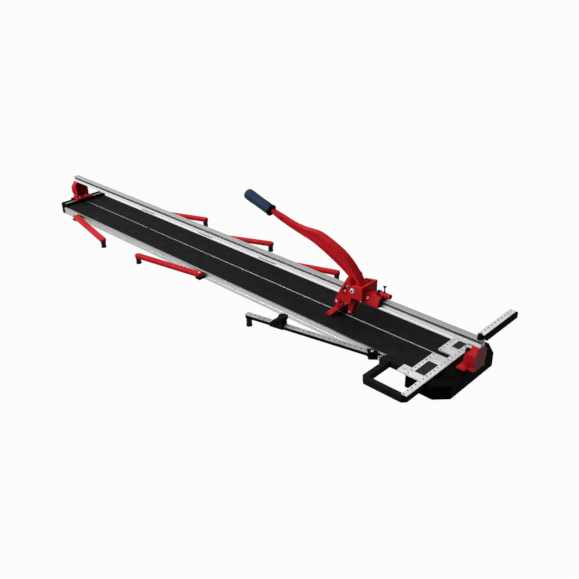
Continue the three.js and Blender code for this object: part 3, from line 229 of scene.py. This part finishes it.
# Zinc plating in the shade of a socket or a slot: almost black.
shaded_zinc = surface("shaded_zinc", "#1a1a1b", "#0d0d0e", 1.0, 0.01, (0.4, 0.5), 0.6)
# Black anodised plates let into the fence, left bare.
black_plate = surface("black_plate", "#2b2b2c", "#1b1b1c", 0.7, 0.02, (0.45, 0.55),
                      **{"Specular IOR Level": 0.15})


# ---- modelling ----

def only(piece):
    """Leaves one piece selected and active."""
    bpy.ops.object.select_all(action="DESELECT")
    piece.select_set(True)
    bpy.context.view_layer.objects.active = piece


def started(name):
    """Names the primitive that was just added and keeps its place in its mesh."""
    piece = bpy.context.object
    piece.name = piece.data.name = name
    only(piece)
    bpy.ops.object.transform_apply(location=True, rotation=True, scale=True)
    return piece


def edit(piece):
    """Opens one piece in edit mode."""
    only(piece)
    bpy.ops.object.mode_set(mode="EDIT")


def leave_edit():
    bpy.ops.object.mode_set(mode="OBJECT")


def pick_faces(piece, test):
    """In edit mode, selects the faces whose centre and normal pass the test."""
    bpy.ops.mesh.select_mode(type="FACE")
    bpy.ops.mesh.select_all(action="DESELECT")
    mesh = bmesh.from_edit_mesh(piece.data)
    for face in mesh.faces:
        face.select_set(test(face.calc_center_median(), face.normal))
    bmesh.update_edit_mesh(piece.data)


def pick_points(piece, test):
    """In edit mode, selects the points that pass the test."""
    bpy.ops.mesh.select_mode(type="VERT")
    bpy.ops.mesh.select_all(action="DESELECT")
    mesh = bmesh.from_edit_mesh(piece.data)
    for point in mesh.verts:
        point.select_set(test(point.co))
    bmesh.update_edit_mesh(piece.data)


def modify(piece, kind, **settings):
    """Adds a modifier and applies it."""
    only(piece)
    modifier = piece.modifiers.new(kind.title(), kind)
    for key, value in settings.items():
        setattr(modifier, key, value)
    bpy.ops.object.modifier_apply(modifier=modifier.name)


def round_edges(piece, width, segments=2):
    """Rounds the edges at which the surface turns by more than 30 degrees."""
    modify(piece, "BEVEL", width=width * MM, segments=segments, limit_method="ANGLE",
           angle_limit=math.radians(30), miter_outer="MITER_ARC")


def turned(name, stations, sides=32):
    """A round piece on the Z axis: a disc, extruded and resized through its (radius, height) stations."""
    radius, height = stations[0]
    bpy.ops.object.select_all(action="DESELECT")
    bpy.ops.mesh.primitive_circle_add(
        vertices=sides, radius=radius * MM, fill_type="NGON", location=(0, 0, height * MM))
    piece = started(name)
    edit(piece)
    bpy.ops.mesh.select_all(action="SELECT")
    for next_radius, next_height in stations[1:]:
        bpy.ops.mesh.extrude_region_move(
            TRANSFORM_OT_translate={"value": (0, 0, (next_height - height) * MM)})
        share = next_radius / radius
        bpy.ops.transform.resize(value=(share, share, 1), center_override=(0, 0, next_height * MM))
        radius, height = next_radius, next_height
    bpy.ops.mesh.select_all(action="SELECT")
    bpy.ops.mesh.normals_make_consistent(inside=False)
    leave_edit()
    return piece


slack = 0.1                                 # how far a point may lie from where it is looked for


def faces_up(normal):
    return normal.z > 0.9


def sink(margin, depth):
    """In edit mode, sinks the selected face inside a margin."""
    bpy.ops.mesh.inset(thickness=margin * MM)
    bpy.ops.mesh.extrude_region_move(TRANSFORM_OT_translate={"value": (0, 0, -depth * MM)})


def socket_in(piece, height, margin, depth):
    """Sinks a socket into the round face at the top of an upright screw, with a margin round it."""
    edit(piece)
    pick_faces(piece, lambda centre, normal: faces_up(normal) and centre.z > (height - slack) * MM
               and centre.xy.length < slack * MM)
    sink(margin, depth)
    leave_edit()


def screw(name, radius, height, shank=0.1):
    """A socket screw that stands on the plane it clamps, with its shank below."""
    piece = turned(name, [
        (radius * 0.55, -shank), (radius * 0.55, -0.01), (radius * 0.95, 0), (radius, height * 0.15),
        (radius, height * 0.75), (radius * 0.84, height),
    ], 24)
    socket_in(piece, height, radius * 0.36, height * 0.7)
    return piece


def lobed(piece, lobes, share, low, high):
    """Draws a round head in between its lobes, from one height to another."""
    edit(piece)
    pick_points(piece, lambda point: low * MM < point.z < high * MM and point.xy.length > slack * MM
                and math.cos(lobes * math.atan2(point.y, point.x)) < -0.3)
    bpy.ops.transform.resize(value=(share, share, 1), center_override=(0, 0, 0))
    leave_edit()


def block(name, x, y, z, edge, segments=3):
    """A cube stretched between its limits, with rounded edges."""
    bpy.ops.object.select_all(action="DESELECT")
    bpy.ops.mesh.primitive_cube_add(
        size=1, location=[sum(span) / 2 * MM for span in (x, y, z)],
        scale=[(span[1] - span[0]) * MM for span in (x, y, z)])
    piece = started(name)
    round_edges(piece, edge, segments)
    return piece


def joined(name, *pieces):
    """Makes one piece of several."""
    bpy.ops.object.select_all(action="DESELECT")
    for piece in pieces:
        piece.select_set(True)
    bpy.context.view_layer.objects.active = pieces[0]
    bpy.ops.object.join()
    pieces[0].name = pieces[0].data.name = name
    return pieces[0]


def copied(piece, name):
    """A piece of its own that has the mesh of another."""
    twin = bpy.data.objects.new(name, piece.data.copy())
    bpy.context.scene.collection.objects.link(twin)
    return twin


def put(piece, place, turn=upright):
    """Turns an upright piece and carries it to its place, inside its mesh."""
    only(piece)
    piece.rotation_euler = [math.radians(angle) for angle in turn]
    piece.location = Vector(place) * MM
    bpy.ops.object.transform_apply(location=True, rotation=True, scale=True)
    return piece


def fit(piece, body, material, slot, *replaced, smooth=38):
    """Gives a finished piece its shading, material and body, and hides the CAD nodes that it stands for."""
    only(piece)
    bpy.ops.object.shade_smooth_by_angle(angle=math.radians(smooth))
    modify(piece, "WEIGHTED_NORMAL", keep_sharp=True)
    piece.data.materials.clear()
    piece.data.materials.append(material)
    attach(piece, body)
    if replaced:
        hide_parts(*replaced)


def softened(node, name, width):
    """A copy of a CAD node, its doubles merged and its flat faces made whole, with its hard edges rounded."""
    piece = copied(nodes[node], name)
    edit(piece)
    bpy.ops.mesh.select_all(action="SELECT")
    bpy.ops.mesh.remove_doubles(threshold=0.005 * MM)
    bpy.ops.mesh.dissolve_limited(angle_limit=math.radians(0.6))
    leave_edit()
    if width:
        round_edges(piece, width)
    return piece


# Castings, mouldings, extrusions and mats keep their CAD shape and get the rounded edges of the real ones.
# node: (name, edge radius, material, slot)
rounded_pieces = {
    "left_end_casting": ("left_casting", 2.0, black_powder_coat, "black_paint"),
    "right_base_casting": ("base_casting", 2.5, black_powder_coat, "black_paint"),
    "carry_loop": ("loop_moulding", 3.0, black_nylon, "black_plastic"),
    "left_rail_bracket": ("left_bracket_casting", 1.2, red_powder_coat, "red_paint"),
    "right_rail_bracket": ("right_bracket_casting", 1.2, red_powder_coat, "red_paint"),
    "carriage_body": ("carriage_casting", 1.2, red_powder_coat, "red_paint"),
    "lever": ("lever_casting", 1.6, red_powder_coat, "red_paint"),
    "breaking_foot": ("foot_casting", 1.2, red_powder_coat, "red_paint"),
    "tail_tube": ("tube", 0.8, red_powder_coat, "red_paint"),
    "carriage_wiper": ("wiper", 0.8, moulded_rubber, "black_rubber"),
    "fence_plate": ("fence", 0.5, fence_aluminium, "aluminium"),
    "fence_rule": ("fence_scale", 0.3, fence_rule_aluminium, "aluminium"),
    "rear_rule": ("rear_scale", 0.3, rear_rule_aluminium, "aluminium"),
    "left_stop_strip": ("stop_strip", 0.4, grey_anodised, "aluminium"),
    "measuring_stop": ("stop_saddle", 1.2, black_nylon, "black_plastic"),
    "measuring_arm_bracket": ("measuring_lug", 0.8, black_powder_coat, "black_paint"),
    "ridge_joint": ("ridge_filler", 0.4, black_nylon, "black_plastic"),
    "front_mat": ("front_rubber", 0.8, rubber_sheet, "black_rubber"),
    "rear_mat": ("rear_rubber", 0.8, rubber_sheet, "black_rubber"),
    "left_breaking_ridge": ("left_ridge", 0.5, drawn_aluminium, "aluminium"),
    "right_breaking_ridge": ("right_ridge", 0.5, drawn_aluminium, "aluminium"),
    "front_bed_extrusion": ("front_extrusion", 0.5, drawn_aluminium, "aluminium"),
    "rear_bed_extrusion": ("rear_extrusion", 0.5, painted_light_aluminium, "aluminium"),
    "guide_rail": ("rail", 0.4, anodised_aluminium, "aluminium"),
}
for node, (name, width, material, slot) in rounded_pieces.items():
    fit(softened(node, name, width), body_of[node], material, slot, node)

# Outriggers: pivot, and the direction of the arm
outriggers = {
    "rear_left": (293.3, 133, 21.3), "rear_middle": (720.7, 133, 23.2), "rear_right": (1106.2, 133, 19.4),
    "front_left": (115.2, -133, -11.6), "front_middle": (1025.5, -133, 190.4),
}
outrigger_reach = 335


def on_arm(pivot, degrees, reach, aside=0, height=0):
    """The place so far along an arm and so far to its right, from its pivot."""
    across, along = math.cos(math.radians(degrees)), math.sin(math.radians(degrees))
    return (pivot[0] + reach * across + aside * along, pivot[1] + reach * along - aside * across, height)


def rubber_foot(name, height, place):
    """A turned rubber foot with a flared sole and a collar under its arm."""
    piece = turned(name, [
        (9.6, 0), (11.2, 0.8), (11.5, 2.4), (11.2, 4.5), (10.3, 7), (10.1, height - 8), (10.6, height - 5),
        (11.3, height - 4), (11.3, height),
    ])
    return put(piece, place)


for place, (x, y, degrees) in outriggers.items():
    arm = f"{place}_arm"
    fit(softened(arm, f"{place}_bar", 1.0), body_of[arm], red_powder_coat, "red_paint", arm, smooth=50)
    lug = f"{arm}_bracket"
    fit(softened(lug, f"{place}_lug", 1.0), "base", black_powder_coat, "black_paint", lug)
    foot = f"{arm}_foot"
    fit(rubber_foot(f"{place}_rubber", 26.9, on_arm((x, y), degrees, outrigger_reach)), body_of[foot],
        moulded_rubber, "black_rubber", foot)
    boss = turned(f"{place}_boss", [(9.5, 42.6), (9.5, 43.8), (9.0, 44.4), (6.2, 44.4), (6.2, 43.6)])
    fit(put(boss, (x, y, 0)), body_of[arm], red_powder_coat, "red_paint")
    head = screw(f"{place}_pivot_screw", 4.6, 3.2)
    fit(put(head, (x, y, 43.4)), body_of[arm], zinc_plate, "steel")

# Measuring arm: a black bar with a scale strip on its top, a rubber foot, and the sliding stop's lobed knob
measuring_foot_reach, stop_knob_reach, stop_screw_reach = 488, 343, 352
fit(softened("measuring_arm", "measuring_bar", 0.6), "measuring_outrigger", black_powder_coat, "black_paint",
    "measuring_arm")
strip = block("measuring_strip", (10, 500.3), (-12, 11.2), (46.5, 47.22), 0.2, 2)
fit(put(strip, (*measuring_pivot, 0), (0, 0, measuring_turn)), "measuring_outrigger", measuring_aluminium,
    "aluminium")
fit(rubber_foot("measuring_rubber", 36.3, on_arm(measuring_pivot, measuring_turn, measuring_foot_reach)),
    "measuring_outrigger", moulded_rubber, "black_rubber", "measuring_arm_foot")
knob = turned("stop_knob", [
    (4, 60), (4, 71.6), (9, 72.3), (16.6, 72.6), (18, 74), (18, 82), (16.4, 84), (8, 84.3), (7.4, 83.4),
], 48)
lobed(knob, 6, 0.9, 72.4, 84.1)
fit(put(knob, on_arm(measuring_pivot, measuring_turn, stop_knob_reach)), "measuring_slider_knob", black_nylon,
    "black_plastic", "measuring_stop_knob")
head = screw("stop_screw", 3.4, 2.2)
place = on_arm(measuring_pivot, measuring_turn, stop_screw_reach, aside=15, height=56)
fit(put(head, place, (90, 0, 11.6)), "measuring_slider", zinc_plate, "steel")
head = screw("measuring_pivot_screw", 5.2, 3.4)
fit(put(head, (*measuring_pivot, 51.2)), "base", zinc_plate, "steel")

# Bracket bolts: a washer and a hexagon head
for side, x in (("left", -32.5), ("right", 2172.5)):
    for end, y in (("front", -18), ("rear", 18)):
        washer = turned("washer", [(5, 65), (7.6, 65.1), (8.2, 65.4), (8.2, 66), (7.7, 66.3), (5, 66.4)], 28)
        head = turned("hexagon", [(6.2, 66.3), (6.6, 66.6), (6.6, 69.6), (6.0, 70.3), (4.6, 70.4)], 6)
        node = f"{side}_bracket_{end}_bolt"
        fit(put(joined(f"{side}_{end}_bolt", washer, head), (x, y, 0)), "base", zinc_plate, "steel", node,
            smooth=25)

# Grip: a turned handle with two swells and a rounded end, somewhat flattened, behind a black collar
lever_rise = 16.1
lean = (0, lever_rise - 90, 0)
grip_root = (1312.5, 0, 344.2)
handle = turned("handle", [
    (17.5, 9.3), (19.8, 10.2), (20.4, 14), (20.9, 26), (20.9, 34), (20.5, 52), (20.5, 62), (20.8, 74),
    (21.4, 92), (21.6, 104), (21.6, 116), (21.3, 123), (20.2, 128.5), (18, 132.4), (14.6, 134.4), (10, 135),
], 40)
edit(handle)
pick_points(handle, lambda point: 13 * MM < point.z < 127 * MM and abs(point.y) > 10 * MM)
bpy.ops.transform.resize(value=(1, 0.93, 1), center_override=(0, 0, 0))
leave_edit()
fit(put(handle, grip_root, lean), "lever", navy_rubber, "blue_grip", "grip", smooth=60)
collar = turned("collar", [(11, 0), (20.8, 0.2), (22, 1.4), (22, 7.2), (21, 8.6), (17, 9.2)], 40)
fit(put(collar, grip_root, lean), "lever", black_nylon, "black_plastic", "grip_collar")

# Fence: two bare inset plates, two screws, and the rule's clamp knob
for name, x, y in (
    ("front_fence_inset", (2063.5, 2098.5), (-142, -64)),
    ("rear_fence_inset", (2070.5, 2098.5), (56, 102)),
):
    plate = block(name, x, y, (55.4, 56.5), 0.25, 2)
    edit(plate)
    pick_faces(plate, lambda centre, normal: faces_up(normal))
    sink(margin=2, depth=0.2)
    leave_edit()
    fit(plate, "base", black_plate, "black_paint")
for end, y in (("front", -42), ("rear", 42)):
    head = screw(f"{end}_fence_screw", 4.4, 2.0)
    fit(put(head, (2076, y, 55.8)), "base", zinc_plate, "steel")
knob = turned("fence_clamp", [
    (3, 38), (3, 56.3), (8.2, 56.4), (9, 57.4), (9, 63), (8.2, 64.6), (6.5, 65.4), (5.6, 68.4), (4.4, 69.2),
], 40)
lobed(knob, 8, 0.88, 56.35, 64.9)
fit(put(knob, (2125.5, 66, 0)), "sliding_rule_knob", black_nylon, "black_plastic", "fence_knob")

# Rear rule's arm, whose low tail narrows to the knob, and the ribbed clamp knob with its flat cap
tail_start, tail_share = -8, 0.4
arm = softened("rear_rule_arm", "rear_arm", 0)
edit(arm)
pick_points(arm, lambda point: point.y < tail_start * MM)
bpy.ops.transform.resize(value=(tail_share, 1, 1), center_override=(rear_rule_hinge * MM, 0, 0))
leave_edit()
round_edges(arm, 0.8)
fit(arm, body_of["rear_rule_arm"], black_powder_coat, "black_plastic", "rear_rule_arm")
knob = turned("rear_clamp", [
    (4, 157), (4, 167.6), (6, 167.7), (6.5, 168.4), (6.5, 179.4), (5.9, 180.4), (4.6, 180.6), (4.2, 180.2),
], 40)
lobed(knob, 10, 0.92, 167.8, 180.1)
fit(put(knob, (rear_rule_hinge, 0, 0)), "swinging_rule_knob", black_nylon, "black_plastic", "rear_rule_knob")

# Thumb screw: a stem with a wing that narrows below its middle
wing_waist = 212
stem = turned("stem", [(2.4, 187.6), (2.4, 192.6), (3.6, 193), (3.6, 195), (2.3, 196), (2.3, 211)], 20)
wing = block("wing", (-6.2, 6.2), (-2.6, 2.6), (209, 217), 2.2, 3)
edit(wing)
pick_points(wing, lambda point: point.z < wing_waist * MM)
bpy.ops.transform.resize(value=(0.6, 1, 1), center_override=(0, 0, wing_waist * MM))
leave_edit()
fit(put(joined("winged_screw", stem, wing), (1834, 0, 0), (0, 0, 35)), "thumb_screw", black_nylon,
    "black_plastic", "tail_thumb_screw")

# Carriage: the lever's pivot screw with its washer, and the small screws of casting and cheek
pivot = turned("pivot", [
    (4.9, -84), (4.9, -0.1), (8.8, 0), (9.2, 0.4), (9.2, 1.2), (7.6, 1.3), (7.6, 4.9), (6.8, 5.8),
])
socket_in(pivot, 5.8, 2.2, 4)
fit(put(pivot, lever_pivot, facing_front), "carriage", zinc_plate, "steel", "lever_pivot_bolt")
pit = turned("pivot_socket", [(4.5, 1.9), (4.5, 3.0), (4.1, 3.1)], 6)
fit(put(pit, lever_pivot, facing_front), "carriage", shaded_zinc, "steel")
# name, body, radius, height, place, turn
small_screws = (
    ("saddle_front_screw", "carriage", 4.6, 3.0, saddle_screw_place, saddle_screw_turn),
    ("saddle_rear_screw", "carriage", 4.6, 3.0, (1787, 21.6, 165.6), (-55.6, 0, 0)),
    ("skirt_screw", "carriage", 3.2, 5.2, (1755.5, -25, 141), (180, 0, 0)),
    ("upper_cheek_screw", "lever", 4.8, 5.0, (1699, -25.8, 180.5), facing_front),
    ("lower_cheek_screw", "lever", 4.8, 5.0, (1689, -25.8, 158.5), facing_front),
)
for name, body, radius, height, where, turn in small_screws:
    head = screw(name, radius, height)
    fit(put(head, where, turn), body, zinc_plate, "steel")

# The dark bottom of the front screw's socket, and a black ring round the tail tube where it enters the
# saddle: both are painted shade
pit = turned("saddle_socket", [(2.6, 1.2), (2.6, 2.9), (2.2, 3.2)], 20)
fit(put(pit, saddle_screw_place, saddle_screw_turn), "carriage", shaded_zinc, "steel")
shade_ring = turned("tube_shade_ring", [
    (8.6, 1808), (9.3, 1808), (9.8, 1808.6), (9.8, 1819.4), (9.3, 1820), (8.6, 1820),
])
fit(put(shade_ring, (0, 0, tube_height), (0, 90, 0)), "carriage", moulded_rubber, "black_rubber")

# Scoring wheel with its hub, its axle, and the foot's pin
wheel = turned("wheel", [
    (2.4, -2.4), (4.6, -2.4), (4.8, -2.1), (9.2, -2), (11, -0.35), (11, 0.35), (9.2, 2), (4.8, 2.1),
    (4.6, 2.4), (2.4, 2.4),
], 48)
fit(put(wheel, (1696, 0, 69), facing_front), "wheel", ground_carbide, "steel", "scoring_wheel")
axle = screw("axle", 3.5, 1.6, 20.2)
fit(put(axle, (1696, -10.3, 69), facing_front), "lever", zinc_plate, "steel", "wheel_axle")
pin = screw("hinge_pin", 4.6, 2.1, 68.2)
fit(put(pin, (1656, -34.3, 109), facing_front), "lever", zinc_plate, "steel", "foot_pin")

# Rail rollers: small bearings with a recessed face, coloured dark as painted shade
for side, y in (("front", -14.98), ("rear", 14.98)):
    for end, x in (("left", 1746), ("right", 1805)):
        roller = turned(f"{side}_{end}_bearing", [
            (2.9, 154.8), (6.2, 154.8), (6.5, 154.2), (8.1, 154.2), (8.5, 154.6), (8.5, 161.3), (8.1, 161.7),
            (6.5, 161.7), (6.2, 161.1), (2.9, 161.1),
        ])
        fit(put(roller, (x, y, 0)), f"{side}_{end}_roller", shaded_roller_steel, "steel",
            f"{side}_{end}_rail_roller")

# ---- stage, lights and camera ----

# White paper, just below the feet. It is seen as white, and sends little of its light to the machine.
floor_size, floor_height, paper_glow = 60, -0.3 * MM, 0.97
bpy.ops.object.select_all(action="DESELECT")
bpy.ops.mesh.primitive_plane_add(size=floor_size, location=(0, 0, floor_height))
floor = started("floor")
paper = bpy.data.materials.new("white_paper")
paper.use_nodes = True
tree = paper.node_tree
tree.nodes.clear()
rays = shader_node(tree, "LightPath").outputs
seen = shader_node(tree, "Math", {0: rays["Is Camera Ray"], 1: rays["Is Glossy Ray"]}, operation="MAXIMUM")
seen = shader_node(tree, "Math", {0: seen.outputs[0], 1: rays["Is Transmission Ray"]}, operation="MAXIMUM")
share = shader_node(tree, "Math", {0: seen.outputs[0], 1: paper_glow}, operation="MULTIPLY").outputs[0]
matt = shader_node(tree, "BsdfDiffuse", {"Color": srgb("#424242")}).outputs[0]
glow = shader_node(tree, "Emission", {"Color": srgb("#ffffff"), "Strength": 1.0}).outputs[0]
mixed = shader_node(tree, "MixShader", {0: share, 1: matt, 2: glow}).outputs[0]
shader_node(tree, "OutputMaterial", {"Surface": mixed})
floor.data.materials.append(paper)

# White backdrop for the camera. For all else the room is bright to the upper left and dark on the other side.
bright_side = Vector((-0.72, -0.3, 0.62))
dark_end, bright_end = -0.12, 0.9
world = bpy.data.worlds.new("studio")
bpy.context.scene.world = world
world.use_nodes = True
tree = world.node_tree
tree.nodes.clear()
rays = shader_node(tree, "LightPath").outputs
sky = shader_node(tree, "TexCoord").outputs["Generated"]
facing = shader_node(tree, "VectorMath", {0: sky, 1: bright_side}, operation="DOT_PRODUCT")
room = shader_node(tree, "MapRange", {
    "Value": facing.outputs["Value"], "From Min": dark_end, "From Max": bright_end,
    "To Min": 0.0, "To Max": 1.0,
}).outputs[0]
level = shader_node(tree, "Mix", {0: rays["Is Camera Ray"], 2: room, 3: 1.0}, data_type="FLOAT").outputs[0]
backdrop = shader_node(tree, "Background", {"Color": srgb("#ffffff"), "Strength": level}).outputs[0]
shader_node(tree, "OutputWorld", {"Surface": backdrop})


def softbox(name, place, target, size, power):
    """A square area lamp that looks at the target; places and size are in metres, and power is in watts."""
    lamp = bpy.data.lights.new(name, "AREA")
    lamp.size = size
    lamp.energy = power
    holder = bpy.data.objects.new(name, lamp)
    bpy.context.scene.collection.objects.link(holder)
    holder.location = place
    holder.rotation_euler = (Vector(target) - Vector(place)).to_track_quat("-Z", "Y").to_euler()


middle = (1.0, 0.0, 0.1)
softbox("key_light", (-1.3, -2.9, 3.0), middle, size=2.4, power=125)
softbox("top_light", (1.2, 0.5, 3.6), middle, size=2.6, power=30)

# The camera stands to the right front of the machine; its place is in metres.
camera_place, focal_length, sensor_width, farthest = (3.065, -1.724, 1.332), 44.67, 36, 100
azimuth, elevation, roll = math.radians(44.09), math.radians(28.17), math.radians(-1.02)
back = Vector((math.sin(azimuth) * math.cos(elevation), -math.cos(azimuth) * math.cos(elevation),
               math.sin(elevation)))
right = Vector((math.cos(azimuth), math.sin(azimuth), 0))
up = back.cross(right)
rolled_right = right * math.cos(roll) + up * math.sin(roll)
rolled_up = up * math.cos(roll) - right * math.sin(roll)
camera_data = bpy.data.cameras.new("photo_camera")
camera_data.sensor_width = sensor_width
camera_data.lens = focal_length
camera_data.clip_end = farthest
camera = bpy.data.objects.new("photo_camera", camera_data)
bpy.context.scene.collection.objects.link(camera)
camera.matrix_world = Matrix.Translation(camera_place) @ Matrix(
    (rolled_right, rolled_up, back)).transposed().to_4x4()
bpy.context.scene.camera = camera
bpy.context.scene.view_settings.view_transform = "Standard"
